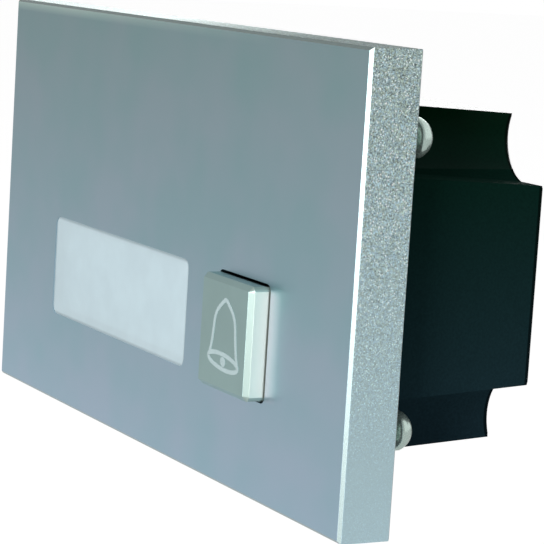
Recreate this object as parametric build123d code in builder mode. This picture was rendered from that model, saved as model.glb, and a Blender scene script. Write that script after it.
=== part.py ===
"""Intercom button module: a thick silver plate with a call button and a lit name window, and a black
housing behind it that goes into the wall.  Millimetres; +X to the right as seen from the front, +Y into
the wall, +Z up; origin at the centre of the plane that the plate's rim rests on."""

import os
from math import radians, sqrt, tan

from build123d import *

os.makedirs("parts", exist_ok=True)

# Plate
plate_width = 113.0
plate_height = 62.0
plate_depth = 7.5
face_thickness = 2.0
rim_thickness = 2.4
edge_chamfer = 0.42
back_edge_chamfer = 0.2
cavity_corner = 1.5

# Row of the name window and the button: its distances to the plate's edges, and the space between the two
row_margin = 13.7
window_margin = 20.3
button_margin = 21.75
row_gap = 9.65

# Name window
window_height = 15.4
window_corner = 1.5
window_wall = 1.0
window_inset = 0.1
window_gap = 0.1
window_lip = 0.8
lip_thickness = 1.0
card_thickness = 0.3
guide_thickness = 3.0

# Call button
button_width = 14.3
button_height = 15.4
button_rise = 2.8
button_travel = 1.0
button_gap = 0.3
button_corner = 0.8
button_chamfer = 0.65
button_wall = 1.2
button_lip = 1.0
seal_thickness = 0.5
seal_gap = 0.1
post_radius = 1.8
post_web = 0.8

# Carrier behind the plate
carrier_margin = 1.5  # beyond the board's edges
carrier_base = 1.5
carrier_wall = 0.8
carrier_gap = 0.1
guide_ledge = 0.8
standoff_radius = 3.0
sleeve_overrun = 0.5

# Circuit board, on the carrier's standoffs
board_clearance = 0.5  # to the housing's walls
board_thickness = 1.6
board_front = 1.5  # the board's front face, behind the rim plane
board_screw_margin = 4.2  # from the board's edges
board_screw_radius = 1.25
board_screw_length = 9.0
board_head_radius = 2.3
board_head_height = 1.5
pad_side = 4.0

# Push switch under the button
switch_side = 6.0
switch_height = 3.4
plunger_radius = 1.7
plunger_rise = 1.5
plunger_seated = 1.0
plunger_clearance = 0.05
plunger_spare = 0.2

# Lamps, chips and other things on the board
led_width = 3.5
led_height = 2.8
led_thickness = 1.9
led_count = 3
lead_thickness = 0.25
parts_margin = 6.6  # from the board's upper and lower edges to the middle of the parts on its back
parts_gap = 1.0  # from the resistors to the head of the lower board screw
capacitor_radius = 4.0
capacitor_height = 11.5
chip_length = 9.9
chip_width = 3.9
chip_height = 1.75
rectifier_length = 8.2
rectifier_width = 6.4
rectifier_height = 3.3
resistor_length = 3.2
resistor_width = 1.6
resistor_height = 0.6
resistor_count = 6
resistor_pitch = 3.0

# Wire terminals and the plug for the next module
terminal_pitch = 5.08
terminal_poles = 4
terminal_width = 9.0
terminal_height = 12.0
terminal_x = -14.0
terminal_z = 0.0
terminal_screw_radius = 1.9
terminal_bore_radius = 2.1
wire_mouth_width = 3.2
wire_mouth_height = 3.4
wire_mouth_depth = 8.0
terminal_skin = 0.7
header_pitch = 2.54
header_columns = 4
header_height = 8.9
header_wall = 1.1
header_x = 19.0
header_z = 0.0
header_pin = 0.64

# Rear housing
housing_setback_x = 7.5  # from the plate's edges to the housing's back
housing_setback_z = 8.9
housing_depth = 24.8  # behind the rim plane
housing_draft = 2.8  # degrees, the flat walls spread towards the front
notch_height = 8.8
housing_wall = 2.0
housing_edge_chamfer = 0.4
opening_clearance = 1.5
well_wall = 1.2
well_gap = 0.4
lip_height = 0.8
cover_step = 0.8

# Flange that the housing stands on, inside the plate's rim
flange_thickness = 2.0
flange_recess = 0.4
flange_gap = 0.2
rebate_depth = 0.8
rebate_gap = 0.1
gasket_width = 1.5
gasket_thickness = 0.5

# Mounting screws, in the housing's corner notches
screw_inset_x = 2.75  # from the sides of the housing's back
screw_inset_z = 2.95
notch_radius = 6.2  # room for the screwdriver round each screw
screw_radius = 1.5
screw_clearance = 0.03
screw_standoff = 5.5  # bearing face of the head behind the rim plane
screw_tip_room = 0.3
screw_engagement = 4.0
head_radius = 2.7
head_side = 0.85
head_height = 2.75
recess_width = 0.9
recess_span = 3.2
recess_depth = 1.4
flange_hole_radius = 1.7
boss_side = 7.0
nut_flats = 5.5
nut_thickness = 2.4

# Levels along Y that several pieces share
face_front = -plate_depth
face_back = face_front + face_thickness
lip_back = face_back + lip_thickness
card_back = lip_back + card_thickness
guide_back = card_back + guide_thickness
flange_back = -flange_recess
flange_front = flange_back - flange_thickness
housing_front = flange_back - rebate_depth
ledge_back = flange_front - gasket_thickness
carrier_back = face_back + carrier_base
board_back = board_front + board_thickness
button_front = face_front - button_rise
button_lip_front = face_back + seal_thickness
button_lip_back = button_lip_front + button_lip
switch_front = board_front - switch_height
plunger_front = switch_front - plunger_rise
back_inner = housing_depth - housing_wall
edge_level = housing_depth - housing_edge_chamfer

# Sizes and places across the front that follow from the ones above
housing_width = plate_width - 2 * housing_setback_x
housing_height = plate_height - 2 * housing_setback_z
screw_x = housing_width / 2 - screw_inset_x
screw_z = housing_height / 2 - screw_inset_z
screw_places = [(x, z) for x in (-screw_x, screw_x) for z in (-screw_z, screw_z)]
row_z = row_margin + button_height / 2 - plate_height / 2
button_x = plate_width / 2 - button_margin - button_width / 2
window_width = plate_width - window_margin - row_gap - button_width - button_margin
window_x = window_margin + window_width / 2 - plate_width / 2
window_lip_size = (window_width + 2 * window_lip, window_height + 2 * window_lip)
light_box_inside = tuple(side + 2 * carrier_gap for side in window_lip_size)
button_lip_size = (button_width + 2 * button_lip, button_height + 2 * button_lip)
board_width = 2 * (screw_x - notch_radius - housing_wall - board_clearance)
board_height = housing_height - 2 * (housing_wall + board_clearance)
carrier_width = board_width + 2 * carrier_margin
carrier_height = board_height + 2 * carrier_margin
terminal_length = terminal_pitch * terminal_poles
header_length = header_pitch * (header_columns + 1) + 2 * header_wall
header_width = 2 * header_pitch + 2 * header_wall + header_pitch / 2
light_box_end = window_x + light_box_inside[0] / 2 + carrier_wall
board_screw_x = board_width / 2 - board_screw_margin
board_screw_z = board_height / 2 - board_screw_margin
board_screw_places = [
    (-board_screw_x, board_screw_z),
    (board_screw_x, board_screw_z),
    (light_box_end + standoff_radius + carrier_gap, -board_screw_z),
]
parts_z = board_height / 2 - parts_margin


def across(level):
    """Sketch plane across the depth of the module: local x along +X, local y along +Z, facing the front."""
    return Plane(origin=(0, level, 0), x_dir=(1, 0, 0), z_dir=(0, -1, 0))


def housing_outline(inset=0.0, level=housing_depth):
    """Outline of the rear housing at a level along Y: a rectangle with an arc-sided notch in each corner."""
    growth = (housing_depth - level) * tan(radians(housing_draft)) - inset
    half_width = housing_width / 2 + growth
    half_height = housing_height / 2 + growth
    end_half = housing_height / 2 - notch_height + growth
    radius = notch_radius + inset
    top_x = screw_x - sqrt(radius**2 - (half_height - screw_z) ** 2)
    floor_x = screw_x - sqrt(radius**2 - (screw_z - end_half) ** 2)
    with BuildSketch(Plane.XY) as outline:
        with BuildLine():
            for side, end in ((1, 1), (1, -1), (-1, -1), (-1, 1)):
                ThreePointArc(
                    (side * top_x, end * half_height),
                    (side * (screw_x - radius), end * screw_z),
                    (side * floor_x, end * end_half),
                )
                Line((side * floor_x, end * end_half), (side * half_width, end * end_half))
            for side in (-1, 1):
                Line((-top_x, side * half_height), (top_x, side * half_height))
                Line((side * half_width, -end_half), (side * half_width, end_half))
        make_face()
    return outline.sketch


def spread_block(outline, back, front, spread, kinds=(GeomType.PLANE,)):
    """Solid block between two levels: the outline at its back, and sides that spread by an angle to the front."""
    with BuildPart() as block:
        with BuildSketch(across(back)):
            add(outline)
        extrude(amount=back - front)
        sides = [face for face in block.faces() if abs(face.normal_at().Y) < 0.5 and face.geom_type in kinds]
        draft(sides, neutral_plane=across(back), angle=-spread)
    return block.part


# Front plate: a tray of metal, open at the back
with BuildPart() as front_plate:
    with BuildSketch(across(0)):
        Rectangle(plate_width, plate_height)
    extrude(amount=plate_depth)
    chamfer(front_plate.faces().sort_by(Axis.Y)[0].edges(), length=edge_chamfer)
    chamfer(front_plate.faces().sort_by(Axis.Y)[-1].edges(), length=back_edge_chamfer)
    cavity = (plate_width - 2 * rim_thickness, plate_height - 2 * rim_thickness)
    with BuildSketch(across(0)):
        RectangleRounded(*cavity, cavity_corner)
    extrude(amount=-face_back, mode=Mode.SUBTRACT)
    # Ledge along the inside of the rim, which the gasket lies on
    with BuildSketch(across(face_back)):
        RectangleRounded(*cavity, cavity_corner)
        Rectangle(cavity[0] - 2 * gasket_width, cavity[1] - 2 * gasket_width, mode=Mode.SUBTRACT)
    extrude(amount=face_back - ledge_back)
    # Bosses for the mounting screws and pads for the board screws
    with BuildSketch(across(face_back)):
        with Locations(*screw_places):
            Rectangle(boss_side, boss_side)
    extrude(amount=face_back - flange_front)
    with BuildSketch(across(face_back)):
        with Locations(*board_screw_places):
            Rectangle(pad_side, pad_side)
    extrude(amount=face_back - carrier_back)
    with BuildSketch(across(flange_front)):
        with Locations(*screw_places):
            Circle(screw_radius + screw_clearance)
    extrude(amount=screw_engagement, mode=Mode.SUBTRACT)
    with BuildSketch(across(carrier_back)):
        with Locations(*board_screw_places):
            Circle(board_screw_radius + screw_clearance)
    extrude(amount=board_screw_length - (board_back - carrier_back) + screw_tip_room, mode=Mode.SUBTRACT)
    # Openings for the name window and the button
    with BuildSketch(across(face_back)):
        with Locations((window_x, row_z)):
            RectangleRounded(window_width, window_height, window_corner)
        with Locations((button_x, row_z)):
            RectangleRounded(
                button_width + 2 * button_gap, button_height + 2 * button_gap, button_corner + button_gap
            )
    extrude(amount=face_thickness, mode=Mode.SUBTRACT)
front_plate.part.label = "front_plate"

# Name window: a clear cover of even wall that fills the opening, with a lip behind the plate
with BuildPart() as name_window:
    with BuildSketch(across(face_back)):
        with Locations((window_x, row_z)):
            RectangleRounded(
                window_width - 2 * window_gap, window_height - 2 * window_gap, window_corner - window_gap
            )
    extrude(amount=face_thickness - window_inset)
    with BuildSketch(across(lip_back)):
        with Locations((window_x, row_z)):
            Rectangle(*window_lip_size)
    extrude(amount=lip_thickness)
    with BuildSketch(across(lip_back)):
        with Locations((window_x, row_z)):
            Rectangle(
                window_width - 2 * (window_gap + window_wall), window_height - 2 * (window_gap + window_wall)
            )
    extrude(amount=lip_back - face_front - window_inset - window_wall, mode=Mode.SUBTRACT)
name_window.part.label = "name_window"

# Blank name card and the block that spreads the lamps' light behind it
with BuildPart() as name_card:
    with BuildSketch(across(card_back)):
        with Locations((window_x, row_z)):
            Rectangle(*window_lip_size)
    extrude(amount=card_thickness)
name_card.part.label = "name_card"

with BuildPart() as light_guide:
    with BuildSketch(across(guide_back)):
        with Locations((window_x, row_z)):
            Rectangle(*window_lip_size)
    extrude(amount=guide_thickness)
light_guide.part.label = "light_guide"

# Carrier: one moulding with the light box, the button's sleeve and the board's standoffs
sleeve_inside = (button_lip_size[0] + 2 * button_gap, button_lip_size[1] + 2 * button_gap)
sleeve_back = button_lip_back + button_travel + sleeve_overrun
with BuildPart() as front_carrier:
    with BuildSketch(across(carrier_back)):
        Rectangle(carrier_width, carrier_height)
    extrude(amount=carrier_base)
    with BuildSketch(across(board_front)):
        with Locations((window_x, row_z)):
            Rectangle(light_box_inside[0] + 2 * carrier_wall, light_box_inside[1] + 2 * carrier_wall)
        with Locations(*board_screw_places):
            Circle(standoff_radius)
    extrude(amount=board_front - carrier_back)
    with BuildSketch(across(sleeve_back)):
        with Locations((button_x, row_z)):
            Rectangle(sleeve_inside[0] + 2 * carrier_wall, sleeve_inside[1] + 2 * carrier_wall)
    extrude(amount=sleeve_back - carrier_back)
    # Light box: a pocket for lip, card and light guide, and a narrower throat that leaves a ledge
    with BuildSketch(across(board_front)):
        with Locations((window_x, row_z)):
            Rectangle(light_box_inside[0] - 2 * guide_ledge, light_box_inside[1] - 2 * guide_ledge)
    extrude(amount=board_front - face_back, mode=Mode.SUBTRACT)
    with BuildSketch(across(guide_back)):
        with Locations((window_x, row_z)):
            Rectangle(*light_box_inside)
    extrude(amount=guide_back - face_back, mode=Mode.SUBTRACT)
    with BuildSketch(across(sleeve_back)):
        with Locations((button_x, row_z)):
            Rectangle(*sleeve_inside)
    extrude(amount=sleeve_back - face_back, mode=Mode.SUBTRACT)
    with BuildSketch(across(board_front)):
        with Locations(*board_screw_places):
            Circle(board_screw_radius + carrier_gap)
    extrude(amount=board_front - carrier_back, mode=Mode.SUBTRACT)
    with BuildSketch(across(carrier_back)):
        with Locations(*board_screw_places):
            Rectangle(pad_side + 2 * carrier_gap, pad_side + 2 * carrier_gap)
    extrude(amount=carrier_base, mode=Mode.SUBTRACT)
front_carrier.part.label = "front_carrier"

# Call button: a hollow cap with a lip that stops behind the plate, and a post that meets the switch
with BuildPart() as button_cap:
    with BuildSketch(across(button_lip_back)):
        with Locations((button_x, row_z)):
            RectangleRounded(button_width, button_height, button_corner)
    extrude(amount=button_lip_back - button_front)
    chamfer(button_cap.faces().sort_by(Axis.Y)[0].edges(), length=button_chamfer)
    with BuildSketch(across(button_lip_back)):
        with Locations((button_x, row_z)):
            Rectangle(*button_lip_size)
    extrude(amount=button_lip)
    hollow_front = button_front + button_wall
    with BuildSketch(across(button_lip_back)):
        with Locations((button_x, row_z)):
            Rectangle(button_width - 2 * button_wall, button_height - 2 * button_wall)
    extrude(amount=button_lip_back - hollow_front, mode=Mode.SUBTRACT)
    with BuildSketch(across(plunger_front)):
        with Locations((button_x, row_z)):
            Circle(post_radius)
    extrude(amount=plunger_front - hollow_front)
    with BuildSketch(across(button_lip_front)):
        with Locations((button_x, row_z)):
            Rectangle(button_width - 2 * button_wall, post_web)
            Rectangle(post_web, button_height - 2 * button_wall)
    extrude(amount=button_lip_front - hollow_front)
button_cap.part.label = "button_cap"

# Soft ring on the button's lip, which closes the gap round the button while it is at rest
with BuildPart() as button_seal:
    with BuildSketch(across(button_lip_front)):
        with Locations((button_x, row_z)):
            Rectangle(*button_lip_size)
            Rectangle(button_width + 2 * seal_gap, button_height + 2 * seal_gap, mode=Mode.SUBTRACT)
    extrude(amount=seal_thickness)
button_seal.part.label = "button_seal"

# Push switch: a body with a bore, and the plunger that slides in it
bore_depth = plunger_seated + button_travel + plunger_spare
with BuildPart() as switch_body:
    with BuildSketch(across(board_front)):
        with Locations((button_x, row_z)):
            Rectangle(switch_side, switch_side)
    extrude(amount=switch_height)
    with BuildSketch(across(switch_front + bore_depth)):
        with Locations((button_x, row_z)):
            Circle(plunger_radius + plunger_clearance)
    extrude(amount=bore_depth, mode=Mode.SUBTRACT)
switch_body.part.label = "switch_body"

with BuildPart() as switch_plunger:
    with BuildSketch(across(switch_front + plunger_seated)):
        with Locations((button_x, row_z)):
            Circle(plunger_radius)
    extrude(amount=plunger_seated + plunger_rise)
switch_plunger.part.label = "switch_plunger"

# Circuit board
with BuildPart() as circuit_board:
    with BuildSketch(across(board_back)):
        Rectangle(board_width, board_height)
        with Locations(*board_screw_places):
            Circle(board_screw_radius + carrier_gap, mode=Mode.SUBTRACT)
    extrude(amount=board_thickness)
circuit_board.part.label = "circuit_board"

# Lamps in a row behind the light guide
led_spacing = window_width / led_count
led_places = [(window_x + (i - (led_count - 1) / 2) * led_spacing, row_z) for i in range(led_count)]
for number, (led_x, led_z) in enumerate(led_places, start=1):
    with BuildPart() as name_led:
        with BuildSketch(across(board_front)):
            with Locations((led_x, led_z)):
                Rectangle(led_width, led_height)
        extrude(amount=led_thickness)
        chamfer(name_led.faces().sort_by(Axis.Y)[0].edges(), length=lead_thickness)
    name_led.part.label = f"name_led_{number}"
    export_step(name_led.part, f"parts/name_led_{number}.step")

# Parts soldered to the back of the board
rectifier_place = (0.0, parts_z)
chip_place = (17.0, parts_z)
capacitor_place = (-17.0, parts_z)
resistor_row_length = (resistor_count - 1) * resistor_pitch + resistor_width
resistor_row = (board_screw_places[-1][0] - board_head_radius - parts_gap - resistor_row_length / 2, -parts_z)

with BuildPart() as bridge_rectifier:
    with BuildSketch(across(board_back)):
        with Locations(rectifier_place):
            Rectangle(rectifier_length, rectifier_width)
    extrude(amount=-rectifier_height)
    chamfer(bridge_rectifier.faces().sort_by(Axis.Y)[-1].edges(), length=lead_thickness)
bridge_rectifier.part.label = "bridge_rectifier"

with BuildPart() as driver_chip:
    with BuildSketch(across(board_back)):
        with Locations(chip_place):
            Rectangle(chip_length, chip_width)
    extrude(amount=-chip_height)
    chamfer(driver_chip.faces().sort_by(Axis.Y)[-1].edges(), length=lead_thickness)
driver_chip.part.label = "driver_chip"

with BuildPart() as smoothing_capacitor:
    with BuildSketch(across(board_back)):
        with Locations(capacitor_place):
            Circle(capacitor_radius)
    extrude(amount=-capacitor_height)
    chamfer(smoothing_capacitor.edges().sort_by(Axis.Y)[-1], length=2 * lead_thickness)
smoothing_capacitor.part.label = "smoothing_capacitor"

with BuildPart() as chip_resistors:
    with BuildSketch(across(board_back)):
        with Locations(resistor_row):
            with GridLocations(resistor_pitch, 1, resistor_count, 1):
                Rectangle(resistor_width, resistor_length)
    extrude(amount=-resistor_height)
chip_resistors.part.label = "chip_resistors"

# Screw terminals: a body with a screw shaft and, below it, a wire mouth for each pole
terminal_back = board_back + terminal_height
pole_places = [terminal_x + (i - (terminal_poles - 1) / 2) * terminal_pitch for i in range(terminal_poles)]
screw_shaft_z = terminal_z + terminal_width / 2 - terminal_skin - terminal_bore_radius
wire_mouth_z = terminal_z - terminal_width / 2 + terminal_skin + wire_mouth_height / 2
with BuildPart() as terminal_block:
    with BuildSketch(across(board_back)):
        with Locations((terminal_x, terminal_z)):
            Rectangle(terminal_length, terminal_width)
    extrude(amount=-terminal_height)
    with BuildSketch(across(terminal_back)):
        with Locations(*[(x, screw_shaft_z) for x in pole_places]):
            Circle(terminal_bore_radius)
    extrude(amount=terminal_height / 2, mode=Mode.SUBTRACT)
    with BuildSketch(across(terminal_back)):
        with Locations(*[(x, wire_mouth_z) for x in pole_places]):
            Rectangle(wire_mouth_width, wire_mouth_height)
    extrude(amount=wire_mouth_depth, mode=Mode.SUBTRACT)
terminal_block.part.label = "terminal_block"

with BuildPart() as terminal_screws:
    with BuildSketch(across(terminal_back - terminal_height / 4)):
        with Locations(*[(x, screw_shaft_z) for x in pole_places]):
            Circle(terminal_screw_radius)
    extrude(amount=terminal_height / 4)
    with BuildSketch(across(terminal_back - terminal_height / 4)):
        with Locations(*[(x, screw_shaft_z) for x in pole_places]):
            Rectangle(2 * terminal_bore_radius, recess_width)
    extrude(amount=recess_width, mode=Mode.SUBTRACT)
terminal_screws.part.label = "terminal_screws"

# Plug for the cable to the next module: a shroud with two rows of pins
with BuildPart() as bus_header:
    with BuildSketch(across(board_back)):
        with Locations((header_x, header_z)):
            Rectangle(header_length, header_width)
    extrude(amount=-header_height)
    with BuildSketch(across(board_back + header_height)):
        with Locations((header_x, header_z)):
            Rectangle(header_length - 2 * header_wall, header_width - 2 * header_wall)
        with Locations((header_x, header_z - header_width / 2)):
            Rectangle(header_pitch, 2 * header_wall)
    extrude(amount=header_height - header_pitch, mode=Mode.SUBTRACT)
    # Square pins standing in the shroud
    with BuildSketch(across(board_back + header_pitch)):
        with Locations((header_x, header_z)):
            with GridLocations(header_pitch, header_pitch, header_columns, 2):
                Rectangle(header_pin, header_pin)
    extrude(amount=-(header_height - 1.5 * header_pitch))
bus_header.part.label = "bus_header"

# Rear housing: walls that leave a notch at each corner for a mounting screw
with BuildPart() as rear_housing:
    add(spread_block(housing_outline(0, back_inner), back_inner, housing_front, housing_draft))
    add(
        spread_block(housing_outline(housing_wall, back_inner), back_inner, housing_front, housing_draft),
        mode=Mode.SUBTRACT,
    )
rear_housing.part.label = "rear_housing"

# Back cover, with a step that fits inside the housing's walls
terminal_opening = (terminal_length + 2 * opening_clearance, terminal_width + 2 * opening_clearance)
header_opening = (header_length + 2 * opening_clearance, header_width + 2 * opening_clearance)
well_fronts = {
    (terminal_x, terminal_z): (terminal_opening, terminal_back + well_gap),
    (header_x, header_z): (header_opening, board_back + header_height + well_gap),
}
with BuildPart() as back_cover:
    add(spread_block(housing_outline(0, edge_level), edge_level, back_inner, housing_draft))
    chamfered = (GeomType.PLANE, GeomType.CYLINDER)
    add(spread_block(housing_outline(housing_edge_chamfer, edge_level), housing_depth, edge_level, 45, chamfered))
    with BuildSketch(across(back_inner)):
        add(housing_outline(housing_wall + rebate_gap, back_inner))
    extrude(amount=cover_step)
    # Wells from the cover to the terminals and the plug, with a low lip outside
    for place, (size, well_front) in well_fronts.items():
        with BuildSketch(across(housing_depth + lip_height)):
            with Locations(place):
                Rectangle(size[0] + 2 * well_wall, size[1] + 2 * well_wall)
        extrude(amount=housing_depth + lip_height - well_front)
    for place, (size, well_front) in well_fronts.items():
        with BuildSketch(across(housing_depth + lip_height)):
            with Locations(place):
                Rectangle(*size)
        extrude(amount=housing_depth + lip_height - well_front, mode=Mode.SUBTRACT)
back_cover.part.label = "back_cover"

# Flange: a flat frame inside the plate's rim, with a rebate round its opening for the housing's walls
flange_size = (cavity[0] - 2 * flange_gap, cavity[1] - 2 * flange_gap)
with BuildPart() as mounting_flange:
    with BuildSketch(across(flange_back)):
        RectangleRounded(*flange_size, cavity_corner)
        add(housing_outline(housing_wall, housing_front), mode=Mode.SUBTRACT)
        with Locations(*screw_places):
            Circle(flange_hole_radius, mode=Mode.SUBTRACT)
    extrude(amount=flange_thickness)
    with BuildSketch(across(flange_back)):
        add(housing_outline(-rebate_gap, housing_front))
    extrude(amount=rebate_depth, mode=Mode.SUBTRACT)
mounting_flange.part.label = "mounting_flange"

# Gasket between the rim's ledge and the housing's flange
with BuildPart() as housing_gasket:
    with BuildSketch(across(flange_front)):
        RectangleRounded(*flange_size, cavity_corner)
        Rectangle(cavity[0] - 2 * gasket_width, cavity[1] - 2 * gasket_width, mode=Mode.SUBTRACT)
    extrude(amount=gasket_thickness)
housing_gasket.part.label = "housing_gasket"

# Mounting screws: domed heads that stand off the flange, for the keyholes of a wall frame
dome_rise = head_height - head_side
dome_radius = (head_radius**2 + dome_rise**2) / (2 * dome_rise)
shank_tip = flange_front - screw_engagement + screw_tip_room
with BuildPart() as mounting_screws:
    with BuildSketch(Plane.XY) as half_section:
        with BuildLine():
            Polyline(
                (0, shank_tip),
                (screw_radius, shank_tip),
                (screw_radius, screw_standoff),
                (head_radius, screw_standoff),
                (head_radius, screw_standoff + head_side),
            )
            RadiusArc(
                (head_radius, screw_standoff + head_side), (0, screw_standoff + head_height), -dome_radius
            )
            Line((0, screw_standoff + head_height), (0, shank_tip))
        make_face()
    revolve(axis=Axis.Y)
    with BuildSketch(across(screw_standoff + head_height)):
        Rectangle(recess_span, recess_width)
        Rectangle(recess_width, recess_span)
    extrude(amount=recess_depth, mode=Mode.SUBTRACT)
one_screw = mounting_screws.part
mounting_screws.part = Part(children=[Pos(x, 0, z) * one_screw for x, z in screw_places])
mounting_screws.part.label = "mounting_screws"

# Nuts that hold the housing's flange against the plate's bosses
with BuildPart() as mounting_nuts:
    with BuildSketch(across(flange_back + nut_thickness)):
        with Locations(*screw_places):
            RegularPolygon(nut_flats / 2, 6, major_radius=False)
            Circle(screw_radius + screw_clearance, mode=Mode.SUBTRACT)
    extrude(amount=nut_thickness)
mounting_nuts.part.label = "mounting_nuts"

# Board screws, through board and standoffs into the plate's pads
with BuildPart() as board_screws:
    with BuildSketch(across(board_back)):
        with Locations(*board_screw_places):
            Circle(board_head_radius)
    extrude(amount=-board_head_height)
    with BuildSketch(across(board_back)):
        with Locations(*board_screw_places):
            Circle(board_screw_radius)
    extrude(amount=board_screw_length)
    with BuildSketch(across(board_back + board_head_height)):
        with Locations(*board_screw_places):
            Rectangle(board_head_radius, recess_width / 2)
            Rectangle(recess_width / 2, board_head_radius)
    extrude(amount=board_head_height / 2, mode=Mode.SUBTRACT)
board_screws.part.label = "board_screws"

for piece in (
    front_plate,
    name_window,
    name_card,
    light_guide,
    front_carrier,
    button_cap,
    button_seal,
    switch_body,
    switch_plunger,
    circuit_board,
    bridge_rectifier,
    driver_chip,
    smoothing_capacitor,
    chip_resistors,
    terminal_block,
    terminal_screws,
    bus_header,
    rear_housing,
    back_cover,
    mounting_flange,
    housing_gasket,
    mounting_screws,
    mounting_nuts,
    board_screws,
):
    export_step(piece.part, f"parts/{piece.part.label}.step")
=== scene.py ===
"""Looks of the intercom call module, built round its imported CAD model: a satin aluminium plate with a name
window, a call button with a bell sign, a black housing and bright mounting screws, above a white floor."""

import math
from functools import partial

import bmesh
import bpy
from bpy.props import FloatProperty, FloatVectorProperty, IntProperty, PointerProperty
from mathutils import Matrix, Vector


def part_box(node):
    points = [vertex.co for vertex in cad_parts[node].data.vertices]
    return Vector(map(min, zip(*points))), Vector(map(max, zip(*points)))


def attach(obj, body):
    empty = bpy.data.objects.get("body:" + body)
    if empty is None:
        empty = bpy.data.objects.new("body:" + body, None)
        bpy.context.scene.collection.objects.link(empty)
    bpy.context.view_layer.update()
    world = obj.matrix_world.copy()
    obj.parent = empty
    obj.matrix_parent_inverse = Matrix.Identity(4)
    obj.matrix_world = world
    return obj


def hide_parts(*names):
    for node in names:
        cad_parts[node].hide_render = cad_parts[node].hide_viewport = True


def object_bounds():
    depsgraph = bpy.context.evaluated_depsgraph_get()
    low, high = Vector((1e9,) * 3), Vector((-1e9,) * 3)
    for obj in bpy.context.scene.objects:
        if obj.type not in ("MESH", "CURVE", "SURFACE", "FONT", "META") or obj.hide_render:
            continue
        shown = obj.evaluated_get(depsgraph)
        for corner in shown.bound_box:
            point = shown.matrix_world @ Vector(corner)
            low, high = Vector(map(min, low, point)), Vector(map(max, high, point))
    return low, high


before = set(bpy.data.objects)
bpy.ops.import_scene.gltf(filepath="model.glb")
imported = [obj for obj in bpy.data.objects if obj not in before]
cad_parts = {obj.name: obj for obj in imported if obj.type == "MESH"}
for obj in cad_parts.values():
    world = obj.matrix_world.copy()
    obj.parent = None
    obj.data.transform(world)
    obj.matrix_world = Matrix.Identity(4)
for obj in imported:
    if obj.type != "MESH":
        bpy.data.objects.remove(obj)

bl_info = {
    "name": "Intercom call module",
    "version": (1, 0, 0),
    "blender": (4, 5, 0),
    "location": "3D View > Sidebar > Call module",
    "description": "Finishes and small fittings of a wall-mounted call module",
    "category": "Object",
}

MM = 0.001
WHITE = (1.0, 1.0, 1.0)
BLACK = (0.0, 0.0, 0.0)
WELD = 1e-7  # distance in metres under which corners of a mesh are one
BORDER = 0.02 * MM  # how far a finish's border keeps from the edge that it follows
RELIEF = 0.01 * MM  # depth of a fine grain
CLOUD_GRAINS = 40  # size of a plastic's clouds, in grains
GLOSS_SWING = 0.06  # how far a plastic's roughness swings with its grain
SHELL_GLOSS = (0.26, 0.38)  # roughness of the housing's upper side, from and to
SHELL_DULL = 0.95  # roughness of the housing's other sides
SATIN = (0.3, 0.36)  # roughness of satin metal, from and to
CUT_EDGE = 0.26  # roughness of the plate's cut edges
BLASTED = (0.5, 0.9)  # roughness of the plate's rim, and of its dulled end
RIM_START = 0.98  # where the rim starts, as a share of half of the plate's width or height
# The rim's glints are painted highlights
GLINT_LEVEL = 0.93  # share of the rim's pits that do not glint
HAZE_SWING = 0.01  # how far the cover's haze swings
THREAD_DEPTH = 0.55  # depth of a screw thread, as a share of its pitch
MOUTH_RISE = 0.115  # half height of the bell's mouth, as a share of its width
# Half of the bell's side line from mouth to tip, in shares of the mouth's half width and the body's height
BELL_SIDE = ((1.0, 0.0), (0.93, 0.06), (0.86, 0.15), (0.8, 0.28), (0.745, 0.45), (0.7, 0.6), (0.64, 0.72),
             (0.52, 0.81), (0.37, 0.88), (0.2, 0.945), (0.09, 0.985))

cad_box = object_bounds()


def screen(red, green, blue):
    """Scene colour of a colour given as it shows on a screen, 0 to 255."""
    def linear(value):
        share = value / 255
        return share / 12.92 if share <= 0.04045 else ((share + 0.055) / 1.055) ** 2.4

    return linear(red), linear(green), linear(blue)


def shade(tone, level):
    """A tone at a share of its brightness."""
    return tuple(min(1.0, level * part) for part in tone)


def number(name, description, default, **limits):
    """Setting of one number, or of as many as the default has."""
    kind = FloatVectorProperty if isinstance(default, tuple) else FloatProperty
    return kind(name=name, description=description, default=default, **limits)


def count(name, description, default):
    return IntProperty(name=name, description=description, default=default, min=2)


def length(name, description, millimetres):
    return number(name, description, millimetres * MM, min=0.0, unit="LENGTH", precision=5)


def colour(name, what, *on_screen):
    return number(name, f"Colour of {what}", screen(*on_screen), min=0.0, max=1.0, subtype="COLOR")


location = partial(number, unit="LENGTH", precision=5)
rotation = partial(number, unit="ROTATION")
share = partial(number, min=0.0, max=1.0, subtype="FACTOR")


# Settings


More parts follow.
